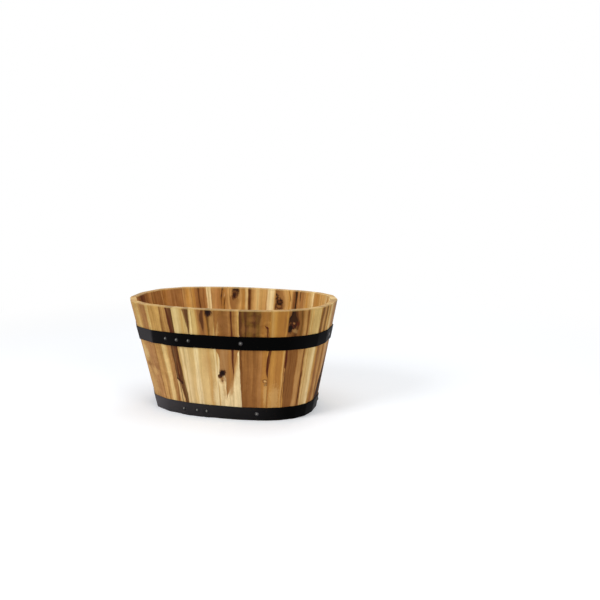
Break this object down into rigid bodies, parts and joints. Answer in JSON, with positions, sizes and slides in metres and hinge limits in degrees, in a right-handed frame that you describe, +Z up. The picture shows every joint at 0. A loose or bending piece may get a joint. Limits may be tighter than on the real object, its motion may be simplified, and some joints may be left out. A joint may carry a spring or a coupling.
{
  "type": "oval barrel planter",
  "caption": "Small oval wooden barrel planter: flat mitred acacia staves flaring to the rim, a boarded bottom, and two nailed black steel hoops with lapped ends.",
  "frame": {"origin": "on the ground, under the centre of the tub's box", "axes": "+Z up out of the mouth, X along the long side of the oval, -Y towards the side with the hoop laps"},
  "size_m": [0.41, 0.234, 0.212],
  "materials": {
    "pale_stave": "planed acacia sapwood, oiled, satin",
    "golden_stave": "planed acacia heartwood, oiled, satin",
    "brown_stave": "planed dark acacia heartwood, oiled, satin",
    "bottom_board": "planed acacia, unfinished, matt",
    "dowel": "turned beech, matt",
    "hoop": "black paint on steel strip, satin",
    "nail": "black paint on domed steel head, satin"
  },
  "bodies": {
    "root": {"stave_01": "golden_stave", "stave_02": "pale_stave", "stave_03": "golden_stave", "stave_04": "golden_stave", "stave_05": "golden_stave", "stave_06": "pale_stave", "stave_07": "golden_stave", "stave_08": "brown_stave", "stave_09": "brown_stave", "stave_10": "golden_stave", "stave_11": "brown_stave", "stave_12": "golden_stave", "stave_13": "pale_stave", "stave_14": "golden_stave", "stave_15": "golden_stave", "stave_16": "pale_stave", "stave_17": "pale_stave", "stave_18": "golden_stave", "stave_19": "brown_stave", "stave_20": "golden_stave", "stave_21": "brown_stave", "stave_22": "pale_stave", "stave_23": "golden_stave", "bottom_board_1": "bottom_board", "bottom_board_2": "bottom_board", "bottom_board_3": "bottom_board", "bottom_board_4": "bottom_board", "bottom_dowels": "dowel", "upper_hoop": "hoop", "lower_hoop": "hoop", "upper_hoop_lap_nails": "nail", "upper_hoop_nails": "nail", "lower_hoop_lap_nails": "nail", "lower_hoop_nails": "nail"}
  },
  "joints": []
}
